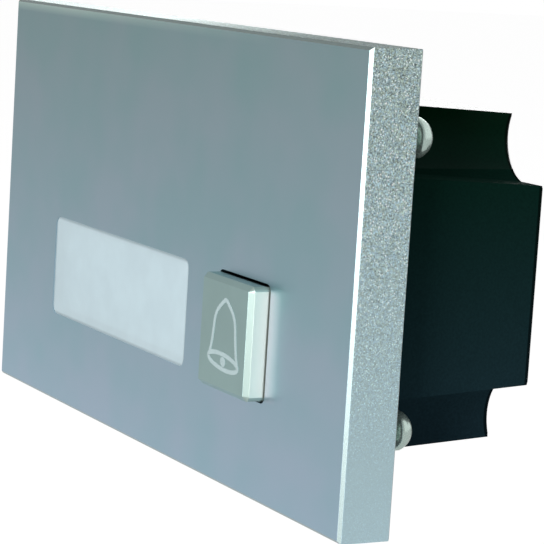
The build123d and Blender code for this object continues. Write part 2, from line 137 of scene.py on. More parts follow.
class MODULE_PG_plate(bpy.types.PropertyGroup):
    # The top and foot colours of face, rim and cut edges hold painted shade: the plate is painted darker towards
    # its top, where less light falls
    face_top: colour("Face, top", "the satin face at its upper edge", 165, 190, 196)
    face_foot: colour("Face, foot", "the satin face at its lower edge", 194, 218, 238)
    # Painted shade in the face's upper left and lower right corners
    painted_corner_shade: share("Fall", "How much darker the face is at its upper left and lower right", 0.08)
    rim_top: colour("Rim, top", "the blasted rim at its upper end", 166, 185, 183)
    rim_foot: colour("Rim, foot", "the blasted rim at its lower end", 194, 221, 229)
    chamfer_top: colour("Chamfer, top", "the bright cut along the edges at its upper end", 144, 162, 160)
    chamfer_foot: colour("Chamfer, foot", "the bright cut along the edges at its lower end", 184, 203, 203)
    hidden_lip: length("Hidden lip", "Width of the button's lip, which lies behind the face", 1.0)
    chamfer_width: length("Chamfer width", "Depth of the bright cut along the front edges", 0.42)
    back_cut: length("Back cut", "Depth of the bright cut along the rim's back edge", 0.2)
    grain_size: length("Grain size", "Size of one pit of the blasted rim", 0.15)
    grain: share("Grain", "Contrast of the blasted rim's grain at its upper end", 0.98)
    grain_tint: share("Grain tint", "How far the grain's tone swings between blue and brown", 0.12)
    # Painted shade on the rim's upper side
    top_shade: share("Top shade", "How much darker the rim's upper side is at its right end", 0.5)
    # Painted highlight: a paler strip along the left of the face's upper edge
    painted_sheen: share("Top sheen", "How much paler the face is along the left of its upper edge", 0.65)
    painted_sheen_width: length("Sheen width", "Width of that paler strip", 1.3)
    painted_sheen_tone: colour("Sheen", "that paler strip", 222, 246, 236)
    # Painted reflection: a paler strip on the face beside the button's bright right side
    painted_reflection: share("Gleam", "How much paler the face is beside the button's right side", 0.5)
    painted_reflection_tone: colour("Gleam", "the paler strip beside the button", 255, 240, 255)
    painted_reflection_width: length("Gleam width", "Width of the paler strip beside the button", 2.1)
    blotch_size: length("Blotch size", "Size of the faint clouds in the satin face", 14)
    cloud_tint: colour("Clouds", "the faint clouds in the satin face", 240, 254, 250)


class MODULE_PG_window(bpy.types.PropertyGroup):
    card: colour("Card", "the blank name card", 230, 246, 251)
    cover: colour("Cover", "the clear cover", 222, 244, 252)
    cover_haze: share("Cover haze", "How much of the card the cover's haze hides", 0.8)
    border: length("Border", "Width of the cover's lip, which the plate hides", 0.8)
    edge_blur: length("Edge blur", "Width of the soft border of the cover", 0.45)
    edge_tone: colour("Edge", "the cover's soft border", 150, 172, 180)
    edge_depth: share("Edge depth", "How strong that colour is at the border's outer side", 0.7)
    bead: colour("Bead", "the thin bead that closes the gap round the cover", 176, 196, 204)
    gap: length("Gap", "Width of the gap between the cover and the plate", 0.1)
    inset: length("Inset", "How far the cover lies behind the plate's face", 0.1)
    corner: length("Corner", "Radius of the opening's corners", 1.5)
    guide: colour("Light guide", "the opal light guide", 228, 238, 244)


class MODULE_PG_button(bpy.types.PropertyGroup):
    front: colour("Front", "the button's satin front", 176, 206, 204)
    # Painted light: the side and bevel colours go only on the button's right side, where the light falls
    side: colour("Side", "the button's bright right side", 234, 246, 234)
    bevel: colour("Bevel", "the cut edge along the button's right side", 166, 187, 181)
    # Painted shade: dark bands where the button enters the gap, on its upper and right sides
    base_shade: length("Base shade", "Height of the dark band at the gap on the button's upper side", 0.42)
    side_shade: length("Side shade", "Height of the dark band at the gap on the button's right side", 0.1)
    side_depth: share("Side depth", "How dark that band on the right side is", 0.6)
    # The seal's colour is also the painted shade at the button's gap
    seal_and_gap_shade: colour("Seal", "the soft ring in the gap", 14, 18, 18)
    sign: colour("Sign", "the bell sign's lines", 190, 212, 214)
    lip: length("Lip", "Width of the button's hidden lip", 1.0)
    bevel_width: length("Bevel width", "Width of the cut edge round the button's front", 0.65)
    line_width: length("Line width", "Width of the bell sign's lines", 0.6)
    line_rise: length("Line rise", "How far the bell sign stands above the button's front", 0.03)
    sign_height: length("Sign height", "Height of the bell", 9.35)
    mouth_width: length("Mouth width", "Width of the bell's mouth", 8.6)
    mouth_drop: length("Mouth drop", "How far the mouth's middle lies below the button's middle", 3.45)
    mouth_tilt: share("Mouth tilt", "Fall of the mouth's line to the right, as a share of its length", 0.06)
    sign_shift: length("Sign shift", "How far the bell lies to the right of the button's middle", 0.42)


class MODULE_PG_housing(bpy.types.PropertyGroup):
    # Painted shade: the housing is painted darker towards its upper side
    shell_top: colour("Shell, top", "the black housing at its upper side", 0, 36, 17)
    shell_foot: colour("Shell, foot", "the black housing at its lower side", 34, 56, 66)
    well_lip: length("Well lip", "How far the two wells' rims stand out of the housing's back", 0.8)
    back_band: length("Back band", "Width of the darker band along the housing's back edge", 0.8)
    back_dark: share("Back darkness", "How much darker that band is", 0.7)
    dull_level: length("Dull level", "Height above the middle where the gloss starts", 14.7)
    texture_size: length("Texture size", "Size of the moulded texture's grain", 0.35)


class MODULE_PG_screws(bpy.types.PropertyGroup):
    head_radius: length("Head radius", "Radius of a mounting screw's domed head", 2.7)
    head_height: length("Head height", "Height of a mounting screw's head", 2.75)
    shank_radius: length("Shank radius", "Radius of a mounting screw's thread", 1.5)
    nut_flats: length("Nut flats", "Distance between opposite flats of a nut", 5.5)
    nut_bore: length("Nut bore", "Radius of a nut's bore, which clears the thread", 1.53)
    head_edge: length("Head edge", "Radius of the head's rounded lower edge", 0.55)
    head_side: length("Head side", "Height of the head's straight side", 0.85)
    thread_pitch: length("Thread pitch", "Distance between turns of the thread", 0.5)
    recess_span: length("Recess span", "Width of the cross recess over its wings", 3.0)
    chrome: colour("Chrome", "the bright plated screws", 216, 238, 229)
    zinc: colour("Zinc", "the zinc plated nuts and inner screws", 176, 180, 178)


class MODULE_PG_board(bpy.types.PropertyGroup):
    resist: colour("Solder resist", "the circuit board", 22, 84, 52)
    track: colour("Tracks", "the board over its copper tracks", 34, 108, 66)
    terminal: colour("Terminals", "the terminal block", 70, 140, 92)
    pin_pitch: length("Pin pitch", "Distance between the plug's pins", 2.54)
    pin_width: length("Pin width", "Width of a plug pin", 0.68)
    pin_columns: count("Pin columns", "Pins side by side in the plug", 4)
    terminal_count: count("Terminals", "Clamp screws in the terminal block", 4)
    track_width: length("Track width", "Width of a copper track", 0.3)
    track_pitch: length("Track pitch", "Distance between tracks across", 1.9)
    track_length: length("Track length", "Distance between tracks upwards", 7)
    slot_width: length("Slot width", "Width of the clamp screws' slots", 0.8)


class MODULE_PG_stage(bpy.types.PropertyGroup):
    camera_place: location("Camera place", "Where the camera stands", (0.30086, -0.15355, 0.04339))
    camera_turn: rotation("Camera turn", "Turn of the view to the left of straight in", 1.0681)
    camera_dip: rotation("Camera dip", "How far the view looks down", 0.1409)
    camera_roll: rotation("Camera roll", "Roll of the view", 0.0622)
    lens: number("Lens", "Focal length on a 36 mm sensor", 155.05, min=1.0, unit="CAMERA")
    shift_x: number("Shift across", "Shift of the view across, as a share of its width", -0.0016)
    shift_y: number("Shift up", "Shift of the view upwards, as a share of its width", -0.0029)
    floor_drop: length("Floor drop", "Height of the module above the floor", 60)
    floor_seen: share("Floor, seen", "Level of the floor's own light in view", 0.68)
    floor_mirrored: share("Floor, mirrored", "Level of the floor's own light in bright surfaces", 0.2)
    key_power: number("Key light", "Power of the soft lamp beside the camera", 4.4, min=0.0, unit="POWER")
    key_place: location("Key light place", "Where the soft lamp hangs", (0.46, -0.70, 0.13))
    key_size: length("Key light size", "Length of the soft lamp's sides", 400)
    sky_level: share("Sky level", "Level of the even light from all round", 0.36)
    room_level: share("Room level", "Level of the room in front of the module, in bright surfaces", 0.5)
    room_edge: share("Room edge", "Y part of the directions from which on the room is white", 0.3)
    glow: number("Glow", "Extra light from the backdrop's brightest part, in bright surfaces", 4.3)
    glow_toward: number("Glow direction", "Direction of that brightest part", (-0.83, 0.55, 0.07))
    glow_edge: share("Glow edge", "Cosine of the angle at which the glow starts", 0.93)
    glow_core: share("Glow core", "Cosine of the angle within which the glow is full", 0.98)


SETTINGS = {
    "plate": MODULE_PG_plate,
    "window": MODULE_PG_window,
    "button": MODULE_PG_button,
    "housing": MODULE_PG_housing,
    "screws": MODULE_PG_screws,
    "board": MODULE_PG_board,
    "stage": MODULE_PG_stage,
}


def settings(context, group):
    return getattr(context.scene, f"call_module_{group}")


# Nodes and materials


class Nodes:
    """A node tree in the making. Nodes take numbers, colours, outputs, and nodes for their first output."""

    def __init__(self, tree):
        self.nodes, self.links = tree.nodes, tree.links

    def put(self, socket, value):
        if isinstance(value, bpy.types.Node):
            value = value.outputs[0]
        if isinstance(value, bpy.types.NodeSocket):
            self.links.new(value, socket)
        elif socket.type == "RGBA":
            socket.default_value = (*value, 1.0)
        else:
            socket.default_value = value

    def node(self, kind, **inputs):
        made = self.nodes.new(kind)
        for name, value in inputs.items():
            self.put(made.inputs[name.replace("_", " ")], value)
        return made

    def math(self, operation, first, second=0.0):
        made = self.nodes.new("ShaderNodeMath")
        made.operation = operation
        self.put(made.inputs[0], first)
        self.put(made.inputs[1], second)
        return made

    def times(self, product, *others):
        for other in others:
            product = self.math("MULTIPLY", product, other)
        return product

    def above(self, value, limit):
        return self.math("GREATER_THAN", value, limit)

    def away(self, value, middle):
        return self.math("ABSOLUTE", self.math("SUBTRACT", value, middle))

    def ramp(self, value, low, high, start=0.0, end=1.0):
        return self.node("ShaderNodeMapRange", Value=value, From_Min=low, From_Max=high, To_Min=start,
                         To_Max=end)

    def pick(self, flag, off, on):
        """One value where the flag is 0, another where it is 1."""
        return self.ramp(flag, 0.0, 1.0, off, on)

    def mix(self, factor, first, second, blend="MIX"):
        made = self.nodes.new("ShaderNodeMix")
        made.data_type = "RGBA"
        made.blend_type = blend
        for place, value in ((0, factor), (6, first), (7, second)):
            self.put(made.inputs[place], value)
        return made.outputs[2]

    def by_ray(self, seen, mirrored, other):
        """Level for rays that see a light, rays that mirror it, and all others."""
        path = self.node("ShaderNodeLightPath")
        level = other
        for kind, value in (("Glossy", mirrored), ("Transmission", seen), ("Camera", seen)):
            level = self.pick(path.outputs[f"Is {kind} Ray"], level, value)
        return level


class Finish(Nodes):
    """A material in the making."""

    def __init__(self, name, **constants):
        self.material = bpy.data.materials.new(name)
        self.material.use_nodes = True
        super().__init__(self.material.node_tree)
        self.shader = self.nodes["Principled BSDF"]
        for socket, value in constants.items():
            self.shader.inputs[socket.replace("_", " ")].default_value = value
        self.place = self.node("ShaderNodeTexCoord").outputs["Object"]
        apart = self.node("ShaderNodeSeparateXYZ", Vector=self.place)
        self.x, self.y, self.z = (apart.outputs[axis] for axis in "XYZ")

    def noise(self, size, detail=2.0, roughness=0.5):
        """Soft noise from 0 to 1, with blobs of about the given size."""
        return self.node("ShaderNodeTexNoise", Vector=self.place, Scale=1 / size, Detail=detail,
                         Roughness=roughness)

    def cells(self, size):
        """Random grey for each cell of the given size."""
        made = self.node("ShaderNodeTexVoronoi", Vector=self.place, Scale=1 / size)
        return self.node("ShaderNodeSeparateColor", Color=made.outputs["Color"])

    def swing(self, noise, start, end):
        """Level that follows a noise from one value to another."""
        return self.ramp(noise, 0.3, 0.7, start, end)

    def patches(self, noise, first, second):
        """Colour that follows a noise from one tone to another."""
        return self.mix(self.ramp(noise, 0.35, 0.65), first, second)

    def silk(self):
        return self.swing(self.noise(0.3 * MM, detail=4.0), *SATIN)

    def bump(self, height, depth, strength):
        self.set(Normal=self.node("ShaderNodeBump", Height=height, Distance=depth, Strength=strength))

    def set(self, **inputs):
        for name, value in inputs.items():
            self.put(self.shader.inputs[name.replace("_", " ")], value)


def moulded(name, dark, light, grain, roughness=0.5, specular=0.5):
    """Moulded plastic: two close shades in soft clouds, and a fine grain in its gloss and relief."""
    made = Finish(name, Specular_IOR_Level=specular)
    fine = made.noise(grain, detail=3.0, roughness=0.6)
    clouds = made.noise(grain * CLOUD_GRAINS)
    made.set(Base_Color=made.mix(made.ramp(made.math("ADD", fine, clouds), 0.7, 1.3), dark, light))
    made.set(Roughness=made.swing(fine, roughness - GLOSS_SWING, roughness + GLOSS_SWING))
    made.bump(fine, RELIEF, 0.5)
    return made.material


def housing_plastic(housing, box, back_level):
    """Black housing: a fine moulded grain, and painted shade that makes it darker and greener towards its upper
    side and bluer towards its foot.
    """
    made = Finish("black_plastic", Specular_IOR_Level=0.02)
    low, high = box
    fine = made.noise(housing.texture_size, detail=3.0, roughness=0.6)
    # Painted shade: darker and greener towards the top, bluer towards the foot
    tone = made.mix(made.ramp(made.z, low.z, high.z), housing.shell_foot, housing.shell_top)
    # Darker band along the back edge
    past = made.above(made.y, back_level - housing.back_band)
    on_side = made.math("LESS_THAN", made.y, back_level - BORDER)
    tone = made.mix(made.times(past, on_side, housing.back_dark), tone, BLACK)
    made.set(Base_Color=made.mix(made.ramp(fine, 0.35, 0.65, 0.0, 0.2), tone, BLACK))
    # Glossy between the upper notches, and dull below
    gloss = made.swing(fine, *SHELL_GLOSS)
    made.set(Roughness=made.pick(made.above(made.z, housing.dull_level), SHELL_DULL, gloss))
    made.bump(fine, RELIEF, 0.5)
    return made.material


def plated(name, tone, roughness, metallic=1.0):
    """Plated metal: even colour with faint stains, and fine scratches in its gloss."""
    made = Finish(name, Metallic=metallic)
    grain = 0.4 * MM
    stain = made.ramp(made.noise(grain * 6, detail=3.0), 0.35, 0.7, 0.0, 0.35)
    scratches = made.noise(grain, detail=4.0, roughness=0.7)
    made.set(Base_Color=made.mix(stain, tone, shade(tone, 0.72)))
    made.set(Roughness=made.swing(scratches, roughness * 0.7, roughness * 1.3))
    made.bump(made.noise(grain / 3), 0.002 * MM, 0.4)
    return made.material


def satin_face(made, plate, high, button_box, height, rightward):
    """Colour of the plate's satin face: faint clouds, painted shade towards its top and in two darker corners,
    and two pale strips of painted light, a highlight along its upper edge and a reflection beside the button.
    """
    # Painted shade: the face darker towards its top
    face = made.mix(height, plate.face_foot, plate.face_top)
    clouded = made.mix(1.0, face, plate.cloud_tint, "MULTIPLY")
    tone = made.patches(made.noise(plate.blotch_size), face, clouded)
    # Painted shade: darker upper left and lower right corners
    upper_left = made.times(height, made.math("SUBTRACT", 1.0, rightward))
    lower_right = made.times(made.math("SUBTRACT", 1.0, height), rightward)
    tone = made.mix(made.times(made.math("ADD", upper_left, lower_right), plate.painted_corner_shade), tone, BLACK)
    # Painted highlight along the left of the upper edge
    edge = high.z - plate.chamfer_width
    near_top = made.ramp(made.z, edge - plate.painted_sheen_width, edge)
    painted_sheen_mask = made.times(near_top, made.ramp(rightward, 0.2, 0.8, plate.painted_sheen, 0.0))
    tone = made.mix(painted_sheen_mask, tone, plate.painted_sheen_tone)
    # Painted reflection of the button's bright side, on the face beside it
    width = plate.painted_reflection_width
    side = button_box[1].x - plate.hidden_lip
    middle = (button_box[0].z + button_box[1].z) / 2
    half = (button_box[1].z - button_box[0].z) / 2 - plate.hidden_lip
    strip = made.ramp(made.math("SUBTRACT", made.x, side), 0.4 * width, 1.6 * width, 1.0, 0.0)
    along = made.ramp(made.away(made.z, middle), half - width / 2, half, 1.0, 0.0)
    painted_reflection = made.times(strip, made.above(made.x, side), along, plate.painted_reflection)
    return made.mix(painted_reflection, tone, plate.painted_reflection_tone)


def blasted_rim(made, plate, box, height, dull_and_shaded):
    """Colour and relief of the plate's blasted rim, whose grain fades downwards, with painted glints on its pits,
    and painted shade towards its top and on its upper side.
    """
    low, high = box
    speck, fine, hue = (made.cells(size * plate.grain_size) for size in (1.0, 0.6, 1.4))
    pits = made.math("ADD", speck, fine)
    strength = made.ramp(made.z, low.z * 0.7, high.z * 0.5, 0.07 * plate.grain, plate.grain)
    spread = made.times(made.math("SUBTRACT", pits, 1.0), strength)
    # Painted glints: the brightest pits are made paler, as light catches them
    glint = made.times(made.above(speck, GLINT_LEVEL), strength, 0.9)
    light = made.math("ADD", made.math("ADD", spread, glint), 1.0)
    grey = made.node("ShaderNodeCombineColor", Red=light, Green=light, Blue=light)
    tint = plate.grain_tint
    cool, warm = (tuple(1 + swing * part for part in (-0.6, -0.1, 1.0)) for swing in (tint, -tint))
    # Painted shade: the rim darker towards its top
    tone = made.mix(height, plate.rim_foot, plate.rim_top)
    tone = made.mix(strength, tone, made.mix(1.0, tone, made.mix(hue, cool, warm), "MULTIPLY"))
    tone = made.mix(1.0, tone, grey, "MULTIPLY")
    # Painted shade: the rim's upper side darker towards its right end
    return made.mix(made.times(dull_and_shaded, plate.top_shade), tone, BLACK), pits


def satin_aluminium(plate, box, button_box):
    """Front plate: satin face, bright cut edges, and a blasted rim."""
    made = Finish("satin_aluminium", Metallic=1.0)
    low, high = box
    # Share of the way up the plate, which sets the painted shade that darkens its upper part
    height = made.ramp(made.z, low.z, high.z)
    rightward = made.ramp(made.x, low.x, high.x)
    # Where each finish lies
    behind_face = made.above(made.y, low.y + BORDER / 2)
    behind_cut = made.above(made.y, low.y + plate.chamfer_width - BORDER)
    at_back = made.above(made.y, high.y - plate.back_cut + BORDER)
    across, upward = (made.math("ABSOLUTE", made.math("DIVIDE", place, end))
                      for place, end in ((made.x, high.x), (made.z, high.z)))
    outside = made.above(made.math("MAXIMUM", across, upward), RIM_START)
    rim = made.times(made.math("SUBTRACT", behind_cut, at_back), outside)
    cut = made.times(made.math("SUBTRACT", behind_face, rim), outside)
    # The rim's upper side towards its right end: a duller gloss, and painted shade in its colour
    dull_and_shaded = made.times(made.above(made.z, high.z - BORDER), made.ramp(rightward, 0.45, 0.85))
    # Colour, gloss and relief
    face = satin_face(made, plate, high, button_box, height, rightward)
    blasted, pits = blasted_rim(made, plate, box, height, dull_and_shaded)
    # Painted shade: the cut edges darker towards the top
    bright = made.mix(height, plate.chamfer_foot, plate.chamfer_top)
    made.set(Base_Color=made.mix(cut, made.mix(rim, face, blasted), bright))
    rough = made.pick(rim, made.silk(), made.pick(dull_and_shaded, *BLASTED))
    made.set(Roughness=made.pick(cut, rough, CUT_EDGE))
    brushed = made.times(made.noise(0.15 * MM), 0.15)
    made.bump(made.math("ADD", made.times(pits, rim), brushed), 0.008 * MM, 0.35)
    return made.material


def button_finish(button, box, face_level):
    """Call button: satin like the plate, with painted light that makes its right side paler, and painted shade
    where it enters the gap.
    """
    made = Finish("button_metal")
    side, top = box[1].x - button.lip, box[1].z - button.lip
    # Painted light: only the right side and its bevel get their own colours and a partly diffuse finish, the side
    # painted pale
    right = made.above(made.x, side - button.bevel_width + BORDER)
    beside = made.above(made.x, side - BORDER)
    face = made.patches(made.noise(6 * MM), button.front, shade(button.front, 0.95))
    tone = made.mix(right, face, made.mix(beside, button.bevel, button.side))
    # Painted shade: dark bands where the button enters the gap, in the seal's colour
    into_gap = made.above(made.y, face_level - button.base_shade)
    into_side_gap = made.above(made.y, face_level - button.side_shade)
    upper = made.times(made.above(made.z, top - 0.05 * MM), into_gap)
    shaded = made.math("MAXIMUM", upper, made.times(beside, into_side_gap, button.side_depth))
    made.set(Base_Color=made.mix(shaded, tone, button.seal_and_gap_shade))
    made.set(Metallic=made.pick(right, 1.0, 0.45), Roughness=made.silk())
    made.bump(made.noise(0.12 * MM), 0.004 * MM, 0.3)
    return made.material


def clear_cover(window, box):
    """Name window: clear hard plastic with a haze, so the card shows soft behind it, and a soft border."""
    made = Finish("window_clear", Roughness=0.12, IOR=1.49)
    haze = made.noise(5 * MM)
    tone = made.patches(haze, window.cover, shade(window.cover, 1.03))
    middle, half = (box[0] + box[1]) / 2, (box[1] - box[0]) / 2
    from_side = made.math("SUBTRACT", half.x - window.border, made.away(made.x, middle.x))
    from_end = made.math("SUBTRACT", half.z - window.border, made.away(made.z, middle.z))
    inward = made.math("MINIMUM", from_side, from_end)
    border = made.ramp(inward, window.gap, window.gap + window.edge_blur, window.edge_depth, 0.0)
    made.set(Base_Color=made.mix(border, tone, window.edge_tone))
    made.set(Alpha=made.swing(haze, window.cover_haze - HAZE_SWING, window.cover_haze + HAZE_SWING))
    made.bump(made.noise(0.4 * MM), 0.002 * MM, 0.2)
    return made.material


def paper(tone):
    """Matt card: faint fibres and clouds in its white."""
    made = Finish("card_white", Roughness=0.85, Specular_IOR_Level=0.2)
    fibres = made.noise(0.25 * MM, detail=5.0, roughness=0.7)
    made.set(Base_Color=made.patches(fibres, tone, shade(tone, 0.96)))
    made.bump(fibres, RELIEF, 0.3)
    return made.material


def circuit_resist(board):
    """Circuit board: green resist over copper tracks that run square to each other."""
    made = Finish("board_green", Specular_IOR_Level=0.5, Roughness=0.3)
    flat = made.node("ShaderNodeCombineXYZ", X=made.x, Y=made.z)
    tracks = made.node("ShaderNodeTexBrick", Vector=flat, Scale=1.0, Mortar_Smooth=0.1, Mortar=board.track,
                       Mortar_Size=board.track_width, Brick_Width=board.track_length,
                       Row_Height=board.track_pitch, Color1=board.resist, Color2=shade(board.resist, 0.9))
    made.set(Base_Color=tracks)
    made.bump(tracks.outputs["Fac"], 0.02 * MM, 0.4)
    return made.material


def dress(material, *nodes):
    """Gives CAD nodes a finished material."""
    for node in nodes:
        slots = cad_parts[node].data.materials
        slots.clear()
        slots.append(material)


# Meshes


def placed(name, data):
    """New object of the given data, linked to the scene."""
    made = bpy.data.objects.new(name, data)
    bpy.context.scene.collection.objects.link(made)
    return made


def soften(mesh, sharp_from):
    """Shades a mesh smooth, apart from edges that turn by more than the given degrees."""
    mesh.shade_smooth()
    mesh.set_sharp_from_angle(angle=math.radians(sharp_from))


def mesh_object(name, bm, material, smooth=None):
    """Object of a finished mesh, linked to the scene with its faces turned outwards."""
    bmesh.ops.remove_doubles(bm, verts=bm.verts, dist=WELD)
    bmesh.ops.recalc_face_normals(bm, faces=bm.faces)
    mesh = bpy.data.meshes.new(name)
    bm.to_mesh(mesh)
    bm.free()
    made = placed(name, mesh)
    mesh.materials.append(material)
    if smooth:
        soften(mesh, smooth)
    return made


def turned(bm, profile, segments):
    """Closed mesh turned about the Y axis from (radius, level) pairs; a radius may follow from the angle.
    A radius of 0 closes on the axis, and otherwise the last ring joins the first."""
    rings = []
    for radius, level in profile:
        if radius == 0:
            rings.append([bm.verts.new((0, level, 0))])
            continue
        ring = []
        for step in range(segments):
            angle = 2 * math.pi * step / segments
            reach = radius(angle) if callable(radius) else radius
            ring.append(bm.verts.new((reach * math.cos(angle), level, reach * math.sin(angle))))
        rings.append(ring)
    pairs = list(zip(rings, rings[1:]))
    if len(rings[0]) > 1:
        pairs.append((rings[-1], rings[0]))
    for first, second in pairs:
        for step in range(segments):
            around = ((first, step), (first, step + 1), (second, step + 1), (second, step))
            corners = [ring[place % len(ring)] for ring, place in around]
            bm.faces.new(list(dict.fromkeys(corners)))


def bake(target):
    """Gives a mesh object the mesh that its modifiers make, and removes them."""
    mesh = bpy.data.meshes.new_from_object(target.evaluated_get(bpy.context.evaluated_depsgraph_get()))
    target.modifiers.clear()
    target.data = mesh


def carve(target, cutter):
    """Cuts one mesh object out of another, and removes the cutter."""
    cut = target.modifiers.new("cut", "BOOLEAN")
    cut.operation = "DIFFERENCE"
    cut.solver = "EXACT"
    cut.object = cutter
    bake(target)
    bpy.data.objects.remove(cutter)


def box_mesh(bm, low, high):
    made = bmesh.ops.create_cube(bm, size=1.0)["verts"]
    low, high = Vector(low), Vector(high)
    for vert in made:
        vert.co = Vector(low[i] + (vert.co[i] + 0.5) * (high[i] - low[i]) for i in range(3))
    return made


def row_tree():
    """Geometry Nodes tree that sets copies of one part in columns and rows across the front."""
    tree = bpy.data.node_groups.new("rows_of_parts", "GeometryNodeTree")
    face = tree.interface
    kinds = {"Part": "Object", "Finish": "Material", "Columns": "Int", "Rows": "Int", "Column pitch": "Float",
             "Row pitch": "Float", "First place": "Vector"}
    face.new_socket(name="Geometry", in_out="OUTPUT", socket_type="NodeSocketGeometry")
    keys = {name: face.new_socket(name=name, in_out="INPUT", socket_type=f"NodeSocket{kind}").identifier
            for name, kind in kinds.items()}
    made = Nodes(tree)
    given = made.node("NodeGroupInput").outputs
    across = made.node("ShaderNodeCombineXYZ", X=given["Column pitch"])
    upward = made.node("ShaderNodeCombineXYZ", Z=given["Row pitch"])
    columns = made.node("GeometryNodeMeshLine", Count=given["Columns"], Start_Location=given["First place"],
                        Offset=across)
    rows = made.node("GeometryNodeMeshLine", Count=given["Rows"], Offset=upward)
    places = made.node("GeometryNodeInstanceOnPoints", Points=columns, Instance=rows)
    points = made.node("GeometryNodeRealizeInstances", Geometry=places)
    part = made.node("GeometryNodeObjectInfo", Object=given["Part"]).outputs["Geometry"]
    copies = made.node("GeometryNodeInstanceOnPoints", Points=points, Instance=part)
    real = made.node("GeometryNodeRealizeInstances", Geometry=copies)
    painted = made.node("GeometryNodeSetMaterial", Geometry=real, Material=given["Finish"])
    made.node("NodeGroupOutput", Geometry=painted)
    return tree, keys


def in_rows(name, part, finish, first, columns, rows, column_pitch, row_pitch):
    """Plain mesh object of one part repeated in columns and rows, which takes the part's place."""
    tree, keys = row_tree()
    made = placed(name, bpy.data.meshes.new(name))
    spread = made.modifiers.new("rows", "NODES")
    spread.node_group = tree
    given = {"Part": part, "Finish": finish, "Columns": columns, "Rows": rows, "Column pitch": column_pitch,
             "Row pitch": row_pitch, "First place": Vector(first)}
    for key, value in given.items():
        spread[keys[key]] = value
    bake(made)
    made.data.name = name
    bpy.data.objects.remove(part)
    if not made.data.polygons:
        raise RuntimeError(f"{name} came out empty")
    return made


def stands_for(piece, body, slot, *nodes):
    """Hands a finished piece to its body, in place of the CAD nodes that it dresses."""
    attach(piece, body)
    if nodes:
        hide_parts(*nodes)


def bell_outline(button):
    """Bell sign about its mouth's centre: (points, closed) of its side line, its mouth and its clapper."""
    half = button.mouth_width / 2
    mouth_rise = MOUTH_RISE * button.mouth_width
    body = button.sign_height - mouth_rise
    right = [(x * half, z * body) for x, z in BELL_SIDE]
    side = right + [(0.0, body)] + [(-x, z) for x, z in reversed(right)]
    turns = [2 * math.pi * step / 48 for step in range(48)]
    mouth = [(half * math.cos(turn), mouth_rise * math.sin(turn)) for turn in turns]
    clapper = [(0.1 * x, 0.35 * z) for x, z in mouth]
    lines = []
    for points, closed in ((side, False), (mouth, True), (clapper, True)):
        tilted = [(x, z - button.mouth_tilt * x * (1 - max(z, 0.0) / body)) for x, z in points]
        lines.append((tilted, closed))
    return lines


def stroke(bm, points, closed, width, front, back):
    """Flat line of even width along the points, lying across the front between two levels."""
    flat = [Vector(point) for point in points]
    count = len(flat)
    rings = []
    for i, point in enumerate(flat):
        before = flat[i - 1] if closed or i else point
        after = flat[(i + 1) % count] if closed or i < count - 1 else point
        along = (after - before).normalized()
        aside = Vector((-along.y, along.x)) * width / 2
        sides = (point + aside, point - aside)
        rings.append([bm.verts.new((place.x, level, place.y)) for place in sides for level in (front, back)])
    order = (0, 1, 3, 2)
    joins = list(zip(rings, rings[1:])) + ([(rings[-1], rings[0])] if closed else [])
    for first, second in joins:
        for here, there in zip(order, order[1:] + order[:1]):
            bm.faces.new((first[here], first[there], second[there], second[here]))
    if not closed:
        for ring in (rings[0], rings[-1]):
            bm.faces.new([ring[i] for i in order])


def thread(radius, pitch, start, end):
    """Rings of a screw thread between two levels, as pairs of radius and level that follow the helix."""
    steps = max(2, round(6 * (end - start) / pitch))
    rings = []
    for step in range(steps + 1):
        level = start + (end - start) * step / steps
        ease = min(1.0, step / 4, (steps - step) / 4)

        def reach(angle, level=level, ease=ease):
            phase = (level / pitch + angle / (2 * math.pi)) % 1.0
            return radius - THREAD_DEPTH * pitch * ease * abs(2 * phase - 1)

        rings.append((reach, level))
    return rings


def domed_screw(screws, tip, top, finish):
    """Mounting screw along +Y with a threaded shank, a domed head and a tapered cross recess."""
    radius, edge, shank = screws.head_radius, screws.head_edge, screws.shank_radius
    seat = top - screws.head_height
    rise = screws.head_height - screws.head_side
    ball = (radius**2 + rise**2) / (2 * rise)
    turns = [math.asin(radius / ball) * step / 10 for step in range(10, 0, -1)]
    dome = [(ball * math.sin(turn), top - ball * (1 - math.cos(turn))) for turn in turns]
    turns = [math.pi / 2 * step / 5 for step in range(6)]
    rounded = [(radius - edge * (1 - math.sin(turn)), seat + edge * (1 - math.cos(turn))) for turn in turns]
    profile = [(0, tip), (0.8 * shank, tip)]
    profile += thread(shank, screws.thread_pitch, tip + 0.1 * MM, seat - 0.05 * MM)
    profile += [(shank, seat)] + rounded + dome + [(0, top)]
    bm = bmesh.new()
    turned(bm, profile, 40)
    screw = mesh_object("screw", bm, finish, smooth=50.0)
    # The two wings of the recess narrow towards its floor
    wing, narrow, depth = screws.recess_span / 2, 0.16 * screws.recess_span, 0.5 * screws.recess_span
    for turn in (0, math.pi / 2):
        cutter = bmesh.new()
        made = box_mesh(cutter, (-wing, top - depth, -narrow), (wing, top + 0.5 * MM, narrow))
        for vert in made:
            if vert.co.y < top - 0.1 * MM:
                vert.co.x *= 0.45
                vert.co.z *= 0.7
        bmesh.ops.rotate(cutter, verts=made, cent=(0, 0, 0), matrix=Matrix.Rotation(turn, 3, "Y"))
        carve(screw, mesh_object("recess_wing", cutter, finish))
    soften(screw.data, 50.0)
    return screw


